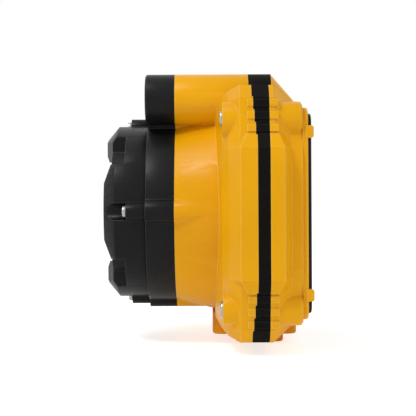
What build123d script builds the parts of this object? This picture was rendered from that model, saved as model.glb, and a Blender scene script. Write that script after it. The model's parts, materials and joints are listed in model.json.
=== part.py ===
from build123d import *
import math
import os

# Rugged compact camera, in millimetres. X runs to the camera's left side as its user holds it,
# the lens looks along -Y, Z is up. The origin is the mouth of the tripod socket, under the gasket.

# Fits shared by all pieces
fit_gap = 0.1
play_gap = 0.3
overrun = 1.0

# Body outline, seen from the front
body_bottom_z = 4.8
body_half_width = 58.0
body_half_height = 45.4
body_mid_z = body_bottom_z + body_half_height
body_top_z = body_mid_z + body_half_height
corner_drop = 20.0
corner_in = 3.5
corner_cut = 4.5
wall = 3.0

# Body depth: planes from front to rear, and how far the outline shrinks at each
front_y = -16.6
front_half_width = 24.0
front_inset_z = 5.85
brow_y = -14.2
brow_inset_x = 9.0
brow_inset_z = 3.85
shoulder_y = -12.0
shoulder_inset_x = 4.0
shoulder_inset_z = 1.85
slab_front_y = -8.0
slab_crest_y = 3.6
slab_rear_y = 5.4
slab_rear_inset_x = 0.4
slab_rear_inset_z = 1.5
rear_shoulder_y = 10.0
rear_inset_x = 3.5
rear_inset_z = 5.4
rear_y = 14.0
rear_draft = 0.3
cavity_front_y = -11.5
cavity_front_inset_x = 4.5
cavity_front_inset_z = 2.7
cavity_rear_y = 11.5
cavity_rear_inset_x = 5.0
cavity_rear_inset_z = 6.2

# Guard bands along both sides
band_height = 3.0
band_reach = body_half_width + band_height
band_end_margin = 22.5
band_half_length = body_half_height - band_end_margin
band_taper = 4.8
band_front_y = -8.0
band_rear_y = 7.3
band_tip_height = 0.4
band_tip_reach = body_half_width + band_tip_height
band_tip_half_depth = 5.4
band_tip_root_depth = 7.5
band_root_depth = 8.0
band_root_x = body_half_width - band_root_depth

# Ribs across the gasket at the four corners
rib_count = 3
rib_pitch = 4.5
rib_width = 2.4
rib_height = 0.5
rib_half_depth = 5.4
rib_start_margin = 16.9
rib_start = body_half_height - rib_start_margin

# Gasket between the housing halves
gasket_front_y = -2.0
gasket_rear_y = 2.35
gasket_step = 0.45

# Corner screws
corner_screw_inset_x = 8.4
corner_screw_inset_z = 11.8
corner_screw_x = body_half_width - corner_screw_inset_x
corner_screw_dz = body_half_height - corner_screw_inset_z
corner_boss_r = 5.7
corner_boss_front_y = -14.1
corner_boss_bevel = 0.8
corner_post_r = 4.2
housing_screw_r = 1.5
housing_screw_head_r = 2.7
housing_screw_head_height = 2.4
housing_screw_key_r = 1.4
housing_screw_key_depth = 1.3
housing_screw_seat_y = -12.6
housing_screw_end_y = 9.0
housing_screw_recess_r = 3.1

# Lens port axis and the screws round it
lens_rise = 0.9
lens_z = body_mid_z + lens_rise
barrel_front_y = -31.6
barrel_front_r = 35.2
barrel_root_r = 39.0
barrel_root_y = -15.6
barrel_bore_r = 30.0
barrel_core_inner_r = 29.0
barrel_core_outer_r = 35.3
barrel_core_depth = 5.6
lip_front_y = -19.0
lip_r = 26.4
port_screw_circle_r = 33.3
port_screw_count = 4
port_screw_r = 1.25
port_screw_head_r = 2.25
port_screw_head_height = 1.4
port_screw_key_r = 1.1
port_screw_key_depth = 1.0
port_screw_end_y = -27.0
port_boss_r = 4.7

# Base ring and lamp cap
ring_front_y = -42.3
ring_bore_r = 27.2
ring_relief_r = 31.0
ring_web = 2.0
pod_x = 17.2
pod_rise = 42.7
pod_z = lens_z + pod_rise
pod_r = 9.65
pod_gasket_rear_y = 4.8
pod_tail_y = 13.4
pod_tail_r = 3.2
pod_tail_drop = 3.4
pod_neck_width = 8.0
pod_neck_shift = 2.0
cap_front_y = -42.8
cap_bevel = 0.6
cap_bore_r = 7.6
cap_lip_r = 6.7
lamp_window_front_y = -42.0
lamp_window_thickness = 2.0
lamp_window_dome = 0.5
lamp_lip_depth = 0.6
lamp_bore_end_y = -25.0
lamp_wire_r = 2.0
reflector_wall = 0.5
reflector_throat_r = 2.4
lamp_board_y = -29.0
lamp_board_thickness = 1.2
lamp_chip_size = 3.6
lamp_chip_height = 1.4
heat_sink_thickness = 1.6
heat_sink_fin_count = 3
heat_sink_fin_thickness = 1.2
heat_sink_fin_pitch = 3.2

# Lens bezel
bezel_r = 33.7
bezel_step_y = -50.4
bezel_valley_y = -55.6
bezel_valley_r = 28.8
bezel_front_y = -58.2
bezel_mouth_r = 22.4
bezel_lip_front_y = -53.3
bezel_lip_r = 19.0
bezel_pocket_front_y = -50.6
bezel_pocket_r = 21.4
bezel_pocket_rear_y = -46.5
bezel_groove_inner_r = 23.4
bezel_groove_outer_r = 30.6
bezel_groove_web = 1.6
bezel_boss_r = 3.4
bezel_screw_seat_y = -49.4
bezel_driver_r = 3.15
bumper_inner_r = 23.8
bumper_outer_r = 28.6
bumper_side_front_y = -54.0
bumper_front_half_width = 10.6
bumper_root_half_width = 17.7
bumper_root_r = 24.6

# Seals round the port
seal_inner_r = 28.6
seal_outer_r = 31.2
seal_thickness = 0.8
port_seal_thickness = 1.0
port_glass_thickness = 2.6
port_glass_bevel = 0.3
baffle_throat_r = 12.5
baffle_wall_r = 19.5

# Lens barrel and optics
tube_r = 26.0
tube_bore_r = 24.0
tube_front_y = -44.7
tube_nose_thickness = 2.0
tube_rear_y = -7.0
tube_flange_r = 29.7
tube_flange_front_y = -22.0
front_lens_r = 11.6
front_lens_crown = 2.2
front_lens_edge = 1.6
front_cell_r = 13.4
front_cell_depth = 5.5
rear_lens_r = 9.0
rear_lens_crown = 1.4
rear_lens_edge = 2.0
focus_cell_r = 18.0
focus_cell_front_y = -29.0
focus_cell_rear_y = -23.0
focus_travel = 2.5
focus_ear_r = 3.0
rod_r = 1.0
rod_circle_r = 20.4
rod_hub_gap = 0.05
motor_r = 3.0
motor_length = 9.0
motor_wall = 1.5
lead_screw_r = 0.8
sensor_mount_thickness = 2.0
sensor_window_width = 17.0
sensor_window_height = 14.0
sensor_width = 15.0
sensor_height = 12.0
sensor_thickness = 1.6
filter_thickness = 0.6
sensor_board_width = 34.0
sensor_board_height = 28.0
sensor_board_thickness = 1.2

# Rear plate, display panel and corner guards
panel_margin_x = 8.2
panel_margin_z = 9.85
panel_half_width = body_half_width - panel_margin_x
panel_half_height = body_half_height - panel_margin_z
panel_corner = 4.0
plate_margin_x = 3.2
plate_margin_z = 1.9
plate_half_width = panel_half_width + plate_margin_x
plate_half_height = panel_half_height + plate_margin_z
plate_corner = 5.0
plate_y = 16.0
plate_bevel = 0.5
panel_y = 17.4
panel_bevel = 0.4
guard_height = 4.2
guard_inset = 6.9
guard_dz = panel_half_height - guard_inset
guard_width = 3.4
guard_lap = 0.3
guard_y = 17.9
rear_window_margin = 9.0
rear_window_half_width = body_half_width - rear_window_margin
rear_window_rim = 3.55
rear_window_half_height = panel_half_height - rear_window_rim
plate_screw_r = 1.0
plate_screw_head_r = 1.9
plate_screw_head_height = 1.2
plate_screw_x = 30.0
plate_screw_length = 4.0
plate_screw_inset = 3.25
plate_screw_dz = plate_half_height - plate_screw_inset

# Display
display_side_margin = 4.3
keys_zone_width = 33.3
display_x = (keys_zone_width - display_side_margin) / 2
display_width = 2 * panel_half_width - keys_zone_width - display_side_margin
display_end_margin = 11.05
display_height = 2 * (panel_half_height - display_end_margin)
display_frame_x = 3.0
display_frame_z = 3.5
display_module_y = 13.8
display_glass_thickness = 0.9
display_glass_margin = 2.2
display_glass_recess = 0.15

# Battery bay, battery and door on the right side
bay_mouth_recess = 0.1
bay_end_gap = 1.0
bay_mouth_x = bay_mouth_recess - band_reach
bay_half_depth = 6.8
bay_bottom_margin = 25.2
bay_top_margin = 22.7
bay_bottom_z = body_bottom_z + bay_bottom_margin
bay_top_z = body_top_z - bay_top_margin
bay_end_x = -tube_r - bay_end_gap
bay_wall = 1.5
door_recess = 2.4
door_half_depth = 5.9
door_sill = 1.6
latch_room = 4.4
door_bottom_z = bay_bottom_z + door_sill
door_top_z = bay_top_z - latch_room
door_thickness = 1.8
door_gap = 0.2
door_hinge_gap = 0.45
door_pin_r = 0.4
door_pin_overlap = 1.4
door_seal_width = 0.8
door_seal_thickness = 0.5
door_rib_count = 5
door_rib_depth = 0.3
door_rib_pitch = 3.0
battery_clearance = 0.3
contact_count = 3
contact_pitch = 5.0
contact_width = 1.6
contact_reach = 1.2
latch_width = 4.8
latch_neck_width = 3.4
latch_length = 9.0
latch_base_thickness = 0.6
latch_back = 0.45
latch_travel = 2.2
latch_grip_count = 3
latch_grip_pitch = 1.6
latch_grip_depth = 0.25

# Chassis and boards
chassis_y = 7.8
chassis_thickness = 1.5
chassis_gap = 1.0
chassis_half_width = body_half_width - wall - cavity_rear_inset_x - chassis_gap
chassis_end_gap = 1.05
chassis_half_height = body_half_height - wall - cavity_rear_inset_z - chassis_end_gap
chassis_corner = 3.0
chassis_notch = 9.0
standoff_inset_x = 9.0
standoff_inset_z = 2.0
standoff_x = chassis_half_width - standoff_inset_x
standoff_dz = chassis_half_height - standoff_inset_z
standoff_r = 2.2
chassis_screw_r = 0.9
chassis_screw_head_r = 1.7
chassis_screw_head_height = 1.2
chassis_screw_length = 3.5
board_y = 3.4
board_thickness = 1.4
board_corner = 1.0
board_bay_gap = 7.0
board_right_x = chassis_half_width
board_left_x = bay_end_x + board_bay_gap
board_inset = 7.0
board_half_height = chassis_half_height - board_inset
spacer_r = 2.0
spacer_inset = 4.0
chip_size = 13.0
chip_height = 1.4
shield_width = 20.0
shield_height = 16.0
shield_depth = 2.2
connector_width = 16.0
connector_height = 4.0
connector_depth = 2.4

# Keys on the rear
keys_inset = 15.3
keys_x = keys_inset - panel_half_width
key_board_thickness = 1.2
key_board_half_width = 13.5
key_board_inset = 6.05
key_board_half_height = panel_half_height - key_board_inset
key_mat_thickness = 0.5
key_dome_r = 2.0
key_dome_height = 0.35
key_rest_gap = 0.35
key_gap = 0.2
key_flange = 0.5
key_flange_thickness = 1.3
key_y = 18.3
key_bevel = 0.25
centre_key_dz = -4.0
centre_key_r = 4.0
arrow_inner_r = 6.0
arrow_outer_r = 11.4
arrow_half_angle = 36.0
arrow_names = ("right_key", "up_key", "left_key", "down_key")
round_key_r = 3.5
round_key_dx = 7.4
round_key_inset = 10.05
round_key_dz = round_key_inset - panel_half_height
rocker_inset = 12.55
rocker_dz = panel_half_height - rocker_inset
rocker_half_width = 10.0
rocker_half_height = 4.0
rocker_thickness = 3.2
rocker_hump = 0.5
rocker_pin_r = 0.6
rocker_pin_y = 15.2
rocker_pin_length = 12.0
rocker_ear_gap = 0.5

# Top buttons
top_button_y = -9.9
shutter_inset = 20.0
shutter_x = shutter_inset - body_half_width
shutter_r = 5.0
shutter_collar_r = 6.5
shutter_collar_rise = 2.5
shutter_rise = 4.7
shutter_collar_z = body_top_z + shutter_collar_rise
shutter_top_z = body_top_z + shutter_rise
button_pitch = 19.0
power_x = shutter_x + button_pitch
power_r = 3.6
power_collar_r = 5.0
power_collar_rise = 1.9
power_rise = 3.2
power_collar_z = body_top_z + power_collar_rise
power_top_z = body_top_z + power_rise
button_floor_drop = 3.5
button_skirt_drop = 0.3
button_stem_drop = 7.4
button_floor_z = body_top_z - button_floor_drop
button_skirt_z = body_top_z - button_skirt_drop
button_stem_r = 1.6
button_stem_end_z = body_top_z - button_stem_drop
button_clip_r = 2.5
button_clip_thickness = 0.6
button_clip_drop = 6.5
button_clip_z = body_top_z - button_clip_drop
button_dish = 0.4
button_bevel = 0.4
button_seal_wall = 0.9
button_seal_height = 0.9
spring_wire_r = 0.2
spring_coil_r = 3.1
spring_turns = 3
power_spring_coil_r = 2.95
switch_board_drop = 10.3
switch_board_z = body_top_z - switch_board_drop
switch_board_thickness = 1.2
switch_board_width = 33.0
switch_board_depth = 6.6
switch_size = 3.0
switch_height = 1.3
switch_post_r = 1.7

# Strap bar on the right side
strap_wire_r = 1.2
strap_half_span = 4.5
strap_length = 9.0
strap_root_depth = 3.5
strap_inset = 15.25
strap_reach = body_half_width + strap_length
strap_root_x = strap_root_depth - body_half_width
strap_dz = body_half_height - strap_inset
strap_y = -6.2
strap_bend_r = 3.0

# Tripod base
base_half_width = 16.0
base_front_y = -17.6
base_rear_y = 14.7
base_flange_z = 3.7
base_seat_z = 6.2
base_top_z = 12.0
base_corner = 4.0
base_bevel = 0.5
pad_half_width = 10.0
pad_front_y = -8.7
pad_rear_y = 10.0
pad_corner = 3.0
base_screw_x = 12.8
base_screw_front_y = -5.9
base_screw_rear_y = 5.4
base_screw_r = 1.25
base_screw_head_r = 2.3
base_screw_head_height = 1.6
base_screw_end_z = 13.0
base_screw_post_r = 2.6
base_screw_post_z = 14.5
base_screw_key_r = 1.1
base_screw_key_depth = 0.9
insert_r = 5.0
insert_height = 5.9
insert_flange_r = 6.2
insert_flange_height = 1.2
socket_r = 3.175
socket_depth = 5.2


# Shared shapes

def front_plane(y):
    """A plane that faces forward, with local x along X and local y along Z."""
    return Plane(origin=(0, y, 0), x_dir=(1, 0, 0), z_dir=(0, -1, 0))


def prism(sketch, rear, front):
    """A sketch drawn on X and Z, carried from the rear plane to the front plane."""
    return extrude(front_plane(rear) * sketch, amount=rear - front)


def disc(x, z, radius, rear, front):
    return prism(Pos(x, z) * Circle(radius), rear, front)


def tube(x, z, outer, inner, rear, front):
    return disc(x, z, outer, rear, front) - disc(x, z, inner, rear + overrun, front - overrun)


def plate(half_width, half_height, corner, rear, front, x=0.0, z=body_mid_z):
    outline = RectangleRounded(2 * half_width, 2 * half_height, corner)
    return prism(Pos(x, z) * outline, rear, front)


def block(x_low, x_high, y_low, y_high, z_low, z_high):
    size = Box(x_high - x_low, y_high - y_low, z_high - z_low)
    return Pos((x_low + x_high) / 2, (y_low + y_high) / 2, (z_low + z_high) / 2) * size


def turned(points, x=0.0, z=lens_z):
    """A solid turned about an axis along Y, from points given as radius and Y."""
    outline = make_face(Polyline(*points, close=True))
    return Pos(x, 0, z) * revolve(outline, axis=Axis.Y)


def upright(x, y, radius, low, high):
    """A cylinder along Z."""
    return Pos(x, y, (low + high) / 2) * Cylinder(radius, high - low)


def along_x(y, z, radius, low, high):
    """A cylinder along X."""
    return Pos((low + high) / 2, y, z) * Rot(0, 90, 0) * Cylinder(radius, high - low)


def corners(dx, dz, z=body_mid_z):
    """The four places dx and dz away from the middle, as X and Z pairs."""
    return [(sx * dx, z + sz * dz) for sx in (-1, 1) for sz in (-1, 1)]


def port_places():
    """The places of the screws round the lens port."""
    step = 2 * math.pi / port_screw_count
    angles = [i * step for i in range(port_screw_count)]
    circle = port_screw_circle_r
    return [(circle * math.cos(a), lens_z + circle * math.sin(a)) for a in angles]


def joined(pieces):
    """Several separate solids kept as one group."""
    return Compound(children=list(pieces))


def socket_screw(x, z, seat, end, shank_r, head_r, head_height, key_r, key_depth):
    """A socket head screw along Y, its head in front of the seat plane."""
    top = seat - head_height
    head = chamfer(disc(x, z, head_r, seat, top).edges().group_by(Axis.Y)[0], head_height / 8)
    key = prism(Pos(x, z) * RegularPolygon(key_r, 6), top + key_depth, top - overrun)
    return head + disc(x, z, shank_r, end, seat) - key


# Body envelope and its parting

def body_outline(inset_x=0.0, inset_z=0.0):
    """The front outline of the body, drawn in from its largest size."""
    w = body_half_width - inset_x
    h = body_half_height - inset_z
    quarter = [(w, h - corner_drop), (w - corner_in, h - corner_cut), (w - corner_in - corner_cut, h)]
    upper = quarter + [(-x, z) for x, z in reversed(quarter)]
    lower = [(x, -z) for x, z in reversed(upper)]
    return Pos(0, body_mid_z) * make_face(Polyline(*(upper + lower), close=True))


def stack(levels):
    """Straight walls drawn through outlines at several depths, each a plane and two insets."""
    return loft([front_plane(y) * body_outline(ix, iz) for y, ix, iz in levels], ruled=True)


def body_shell_levels():
    return [
        (slab_front_y, 0, 0),
        (shoulder_y, shoulder_inset_x, shoulder_inset_z),
        (brow_y, brow_inset_x, brow_inset_z),
        (front_y, body_half_width - front_half_width, front_inset_z),
    ]


def rear_shell_levels():
    return [
        (slab_crest_y, 0, 0),
        (slab_rear_y, slab_rear_inset_x, slab_rear_inset_z),
        (rear_shoulder_y, rear_inset_x, rear_inset_z),
        (rear_y, rear_inset_x + rear_draft, rear_inset_z + rear_draft),
    ]


def side_x(dz):
    """Half width of the body at a height above or below its middle."""
    straight = body_half_height - corner_drop
    run = corner_drop - corner_cut
    share = min(max((dz - straight) / run, 0), 1)
    return body_half_width - corner_in * share


def guard_band():
    """The raised band along the left side, with a facet at each end."""
    shoulder_x = body_half_width - shoulder_inset_x
    rear_x = body_half_width - rear_inset_x
    full = [
        (band_root_x, shoulder_y), (shoulder_x, shoulder_y), (band_reach, band_front_y),
        (band_reach, band_rear_y), (rear_x, rear_shoulder_y), (band_root_x, rear_shoulder_y),
    ]
    tip = [
        (band_root_x, -band_tip_root_depth), (shoulder_x, -band_tip_root_depth),
        (band_tip_reach, -band_tip_half_depth), (band_tip_reach, band_tip_half_depth),
        (rear_x, band_tip_root_depth), (band_root_x, band_tip_root_depth),
    ]
    low = body_mid_z - band_half_length
    high = body_mid_z + band_half_length
    levels = [(low - band_taper, tip), (low, full), (high, full), (high + band_taper, tip)]
    faces = [Plane.XY.offset(z) * make_face(Polyline(*points, close=True)) for z, points in levels]
    return loft(faces, ruled=True)


def corner_ribs():
    """The ribs that cross the gasket at one upper corner."""
    ribs = Part()
    for i in range(rib_count):
        low = rib_start + i * rib_pitch
        high = low + rib_width
        points = [
            (band_root_x, low), (side_x(low) + rib_height, low),
            (side_x(high) + rib_height, high), (band_root_x, high),
        ]
        outline = Pos(0, body_mid_z) * make_face(Polyline(*points, close=True))
        ribs += prism(outline, rib_half_depth, -rib_half_depth)
    return ribs


def both_sides(solid):
    return solid + mirror(solid, about=Plane.YZ)


def all_corners(solid):
    middle = Plane.XY.offset(body_mid_z)
    return both_sides(solid + mirror(solid, about=middle))


def pod_neck(rear, front):
    """The web that joins the lamp pod to the lens barrel."""
    dx = pod_x
    dz = pod_z - lens_z
    length = math.hypot(dx, dz) - barrel_bore_r
    middle = (math.hypot(dx, dz) + barrel_bore_r) / 2
    angle = math.degrees(math.atan2(dz, dx))
    outline = Pos(middle, pod_neck_shift) * Rectangle(length, pod_neck_width)
    web = Pos(0, lens_z) * Rot(0, 0, angle) * outline
    return prism(web, rear, front)


def lens_barrel_shell():
    """The yellow barrel, its screw bosses and the lamp pod with its tail."""
    barrel = turned([
        (0, cavity_front_y), (barrel_root_r, cavity_front_y), (barrel_root_r, barrel_root_y),
        (barrel_front_r, barrel_front_y), (0, barrel_front_y),
    ])
    for x, z in port_places():
        barrel += disc(x, z, port_boss_r, barrel_root_y, barrel_front_y)
    pod = disc(pod_x, pod_z, pod_r, pod_gasket_rear_y, barrel_front_y)
    tail = loft([
        front_plane(pod_gasket_rear_y) * (Pos(pod_x, pod_z) * Circle(pod_r)),
        front_plane(pod_tail_y) * (Pos(pod_x, pod_z - pod_tail_drop) * Circle(pod_tail_r)),
    ], ruled=True)
    return barrel + pod + tail + pod_neck(cavity_front_y, barrel_front_y)


def body_envelope():
    """The whole yellow and black body as one solid, before it is parted and hollowed."""
    body = prism(body_outline(), slab_crest_y, slab_front_y)
    body += stack(body_shell_levels()) + stack(rear_shell_levels())
    body += both_sides(guard_band()) + all_corners(corner_ribs())
    root_y = slab_rear_y - overrun
    for x, z in corners(corner_screw_x, corner_screw_dz):
        body += disc(x, z, corner_boss_r, slab_front_y + overrun, corner_boss_front_y)
        body += turned([
            (0, root_y), (corner_boss_r, root_y), (corner_boss_r, rear_y - corner_boss_bevel),
            (corner_boss_r - corner_boss_bevel, rear_y), (0, rear_y),
        ], x, z)
    seat = block(-base_half_width, base_half_width, base_front_y, base_rear_y, 0, base_seat_z)
    return body + lens_barrel_shell() - seat


def body_cavity():
    """The hollow inside both halves, leaving a post round each corner screw."""
    inner = wall
    front = [
        (slab_front_y, inner, inner),
        (cavity_front_y, inner + cavity_front_inset_x, inner + cavity_front_inset_z),
    ]
    rear = [
        (slab_crest_y, inner, inner),
        (cavity_rear_y, inner + cavity_rear_inset_x, inner + cavity_rear_inset_z),
    ]
    hollow = prism(body_outline(inner, inner), slab_crest_y, slab_front_y)
    hollow += stack(front) + stack(rear)
    for x, z in corners(corner_screw_x, corner_screw_dz):
        hollow -= disc(x, z, corner_post_r, rear_y, front_y)
    return hollow


def gasket_zone():
    """The space that the gasket fills, wider in steps towards both ends and over the lamp pod."""
    reach = band_reach + overrun
    top = pod_z + pod_r + overrun
    zone = block(-reach, reach, gasket_front_y, gasket_rear_y, -overrun, top)
    for i in range(rib_count + 1):
        dz = rib_start + i * rib_pitch - rib_width / 2
        front = gasket_front_y - gasket_step * (i + 1)
        zone += block(-reach, reach, front, gasket_rear_y, body_mid_z + dz, top)
        zone += block(-reach, reach, front, gasket_rear_y, -overrun, body_mid_z - dz)
    return zone + block(
        pod_x - pod_r, pod_x + pod_r, gasket_rear_y, pod_gasket_rear_y, body_top_z, top
    )


def button_places():
    """The two top buttons: X, button radius, collar radius and collar height."""
    return [
        (shutter_x, shutter_r, shutter_collar_r, shutter_collar_z),
        (power_x, power_r, power_collar_r, power_collar_z),
    ]


def switch_post_places():
    ends = switch_board_width / 2 - switch_post_r
    middle = (shutter_x + power_x) / 2
    return [middle - ends, middle, middle + ends]


def bay_block(gap=0.0):
    """The outside of the battery bay."""
    return block(
        bay_mouth_x - gap, bay_end_x + gap, -bay_half_depth - gap, bay_half_depth + gap,
        bay_bottom_z - gap, bay_top_z + gap,
    )


def strap_path_places():
    return [body_mid_z + strap_dz - strap_half_span, body_mid_z + strap_dz + strap_half_span]


def base_screw_places():
    return [(sx * base_screw_x, y) for sx in (-1, 1) for y in (base_screw_front_y, base_screw_rear_y)]


def front_housing(envelope, cavity, zone):
    """The front half: barrel, lamp pod, button collars and posts."""
    housing = envelope - block(
        -band_reach - overrun, band_reach + overrun, gasket_rear_y, rear_y + overrun,
        -overrun, pod_z + pod_r + overrun,
    )
    for x, _, collar_r, collar_z in button_places():
        housing += upright(x, top_button_y, collar_r, button_floor_z - wall, collar_z)
    housing -= cavity
    top = body_top_z - wall
    for x in switch_post_places():
        housing += upright(x, top_button_y, switch_post_r, switch_board_z, top - wall / 2)
    for x, y in base_screw_places():
        if y < 0:
            housing += upright(x, y, base_screw_post_r, base_seat_z, base_screw_post_z)
    housing -= zone
    clip_top = button_clip_z + button_clip_thickness
    for x, radius, collar_r, collar_z in button_places():
        housing -= upright(x, top_button_y, radius + play_gap, button_floor_z, collar_z + overrun)
        housing -= upright(x, top_button_y, button_stem_r + fit_gap, switch_board_z, collar_z)
        housing -= upright(x, top_button_y, button_clip_r + play_gap, switch_board_z, clip_top + play_gap)
    housing -= disc(0, lens_z, barrel_bore_r, lip_front_y, barrel_front_y - overrun)
    housing -= disc(0, lens_z, lip_r, gasket_front_y, barrel_front_y)
    core_end_y = cavity_front_y - barrel_core_depth
    housing -= turned([
        (barrel_core_inner_r, cavity_front_y), (barrel_core_outer_r, cavity_front_y),
        (barrel_core_outer_r, core_end_y), (barrel_core_inner_r, core_end_y),
    ])
    for x, z in port_places():
        housing -= disc(x, z, port_screw_r + fit_gap, port_screw_end_y, barrel_front_y - overrun)
    housing -= disc(pod_x, pod_z, cap_bore_r, lamp_bore_end_y, barrel_front_y - overrun)
    housing -= disc(pod_x, pod_z - cap_bore_r / 2, lamp_wire_r, slab_front_y, lamp_bore_end_y)
    housing -= tube(
        0, lens_z, seal_outer_r + fit_gap, seal_inner_r, barrel_front_y + seal_thickness, barrel_front_y
    ) & disc(0, lens_z, barrel_root_r, barrel_front_y + seal_thickness, barrel_front_y)
    for x, z in corners(corner_screw_x, corner_screw_dz):
        housing -= disc(x, z, housing_screw_r + fit_gap, gasket_rear_y, front_y)
        housing -= disc(x, z, housing_screw_recess_r, housing_screw_seat_y, front_y)
    housing -= bay_block(fit_gap)
    for z in strap_path_places():
        housing -= along_x(strap_y, z, strap_wire_r + fit_gap, -band_reach, strap_root_x)
    for x, y in base_screw_places():
        if y < 0:
            housing -= upright(x, y, base_screw_r + fit_gap, 0, base_screw_end_z)
    return housing


def rear_housing(envelope, cavity, zone):
    """The rear half: a deep frame with a window for the display and the keys."""
    housing = envelope - block(
        -band_reach - overrun, band_reach + overrun, bezel_front_y, gasket_rear_y,
        -overrun, pod_z + pod_r + overrun,
    )
    housing -= cavity
    window_z = rear_window_half_height
    housing -= plate(rear_window_half_width, window_z, chassis_corner, rear_y + overrun, slab_rear_y)
    for x, z in corners(standoff_x, standoff_dz):
        housing += disc(x, z, standoff_r, cavity_rear_y + wall / 2, chassis_y + chassis_thickness)
        housing -= disc(x, z, chassis_screw_r + fit_gap, cavity_rear_y, slab_rear_y)
    for x, y in base_screw_places():
        if y > 0:
            housing += upright(x, y, base_screw_post_r, base_seat_z, base_screw_post_z)
            housing -= upright(x, y, base_screw_r + fit_gap, 0, base_screw_end_z)
    for x, z in corners(corner_screw_x, corner_screw_dz):
        housing -= disc(x, z, housing_screw_r + fit_gap, housing_screw_end_y, gasket_rear_y - overrun)
    for x, z in corners(plate_screw_x, plate_screw_dz):
        housing -= disc(x, z, plate_screw_r + fit_gap, rear_y + overrun, rear_y - plate_screw_length)
    return housing - zone - bay_block(fit_gap)


def body_gasket(envelope, cavity, zone):
    """The rubber band between the halves, with the screws passing through its ears."""
    band = (envelope & zone) - cavity
    for x, z in corners(corner_screw_x, corner_screw_dz):
        band -= disc(x, z, housing_screw_r + fit_gap, gasket_rear_y + overrun, front_y)
    return band - bay_block(fit_gap)


def housing_screws():
    return joined(
        socket_screw(
            x, z, housing_screw_seat_y, housing_screw_end_y, housing_screw_r, housing_screw_head_r,
            housing_screw_head_height, housing_screw_key_r, housing_screw_key_depth,
        )
        for x, z in corners(corner_screw_x, corner_screw_dz)
    )


# Lens port

def lens_base_ring():
    """The black ring behind the bezel, in one piece with the lamp cap."""
    ring = disc(0, lens_z, barrel_front_r, barrel_front_y, ring_front_y)
    for x, z in port_places():
        ring += disc(x, z, port_boss_r, barrel_front_y, ring_front_y)
    cap = disc(pod_x, pod_z, pod_r, barrel_front_y, cap_front_y)
    cap = chamfer(cap.edges().group_by(Axis.Y)[0], cap_bevel)
    ring += cap + pod_neck(barrel_front_y, ring_front_y)
    ring -= disc(0, lens_z, ring_bore_r, barrel_front_y + overrun, ring_front_y - overrun)
    ring -= disc(0, lens_z, ring_relief_r, barrel_front_y - ring_web, ring_front_y - overrun)
    lip_y = lamp_window_front_y + lamp_window_thickness
    ring -= disc(pod_x, pod_z, cap_bore_r, lip_y, cap_front_y - overrun)
    ring -= disc(pod_x, pod_z, cap_lip_r, lip_y + lamp_lip_depth, lip_y)
    ring -= disc(pod_x, pod_z, cap_bore_r, barrel_front_y + overrun, lip_y + lamp_lip_depth)
    for x, z in port_places():
        ring -= disc(x, z, port_screw_r + fit_gap, barrel_front_y + overrun, ring_front_y - overrun)
    return ring


def lens_bezel():
    """The front bezel: a stepped ring with four bumpers and a stepped funnel."""
    bezel = turned([
        (ring_bore_r, ring_front_y), (bezel_r, ring_front_y), (bezel_r, bezel_step_y),
        (bezel_valley_r, bezel_step_y), (bezel_valley_r, bezel_valley_y),
        (bezel_mouth_r, bezel_valley_y), (bezel_lip_r, bezel_lip_front_y),
        (bezel_lip_r, bezel_pocket_front_y), (bezel_pocket_r, bezel_pocket_front_y),
        (bezel_pocket_r, bezel_pocket_rear_y), (ring_bore_r, bezel_pocket_rear_y),
    ])
    bumper_ring = turned([
        (bumper_root_r, bezel_step_y), (bezel_r, bezel_step_y), (bezel_r, bumper_side_front_y),
        (bumper_outer_r, bezel_front_y), (bumper_inner_r, bezel_front_y),
        (bezel_mouth_r, bezel_valley_y), (bumper_root_r, bezel_valley_y),
    ])
    root = bumper_root_half_width
    tip = bumper_front_half_width
    outline = make_face(Polyline(
        (-root, bezel_step_y), (-root, bezel_valley_y), (-tip, bezel_front_y),
        (tip, bezel_front_y), (root, bezel_valley_y), (root, bezel_step_y), close=True,
    ))
    wedge = extrude(outline, amount=bezel_r + overrun)
    wedge -= extrude(outline, amount=bezel_lip_r)
    for i in range(port_screw_count):
        turn = Pos(0, 0, lens_z) * Rot(0, i * 360 / port_screw_count, 0)
        bezel += bumper_ring & (turn * wedge)
    for x, z in port_places():
        bezel += disc(x, z, bezel_boss_r, ring_front_y, bezel_screw_seat_y)
    groove_front_y = bezel_step_y + bezel_groove_web
    bezel -= turned([
        (bezel_groove_inner_r, ring_front_y + overrun), (bezel_groove_outer_r, ring_front_y + overrun),
        (bezel_groove_outer_r, groove_front_y), (bezel_groove_inner_r, groove_front_y),
    ])
    for x, z in port_places():
        bezel -= disc(x, z, bezel_driver_r, bezel_screw_seat_y, bezel_front_y - overrun)
        bezel -= disc(x, z, port_screw_r + fit_gap, ring_front_y + overrun, bezel_screw_seat_y)
    return bezel


def bezel_screws():
    return joined(
        socket_screw(
            x, z, bezel_screw_seat_y, port_screw_end_y, port_screw_r, port_screw_head_r,
            port_screw_head_height, port_screw_key_r, port_screw_key_depth,
        )
        for x, z in port_places()
    )


def base_seal():
    rear = barrel_front_y + seal_thickness
    return tube(0, lens_z, seal_outer_r, seal_inner_r + fit_gap, rear, barrel_front_y)


def port_seal():
    rear = bezel_pocket_front_y + port_seal_thickness
    inner = bezel_lip_r + fit_gap
    return tube(0, lens_z, bezel_pocket_r - fit_gap, inner, rear, bezel_pocket_front_y)


def port_glass():
    front = bezel_pocket_front_y + port_seal_thickness
    glass = disc(0, lens_z, bezel_pocket_r - fit_gap, front + port_glass_thickness, front)
    return chamfer(glass.edges().filter_by(GeomType.CIRCLE), port_glass_bevel)


def port_baffle():
    """The matt cone behind the glass that hides the gap round the front lens."""
    front = bezel_pocket_front_y + port_seal_thickness + port_glass_thickness
    outer = bezel_pocket_r - fit_gap
    return turned([
        (baffle_wall_r, front), (outer, front), (outer, tube_front_y), (baffle_throat_r, tube_front_y),
    ])


# Lens barrel and optics

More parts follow.
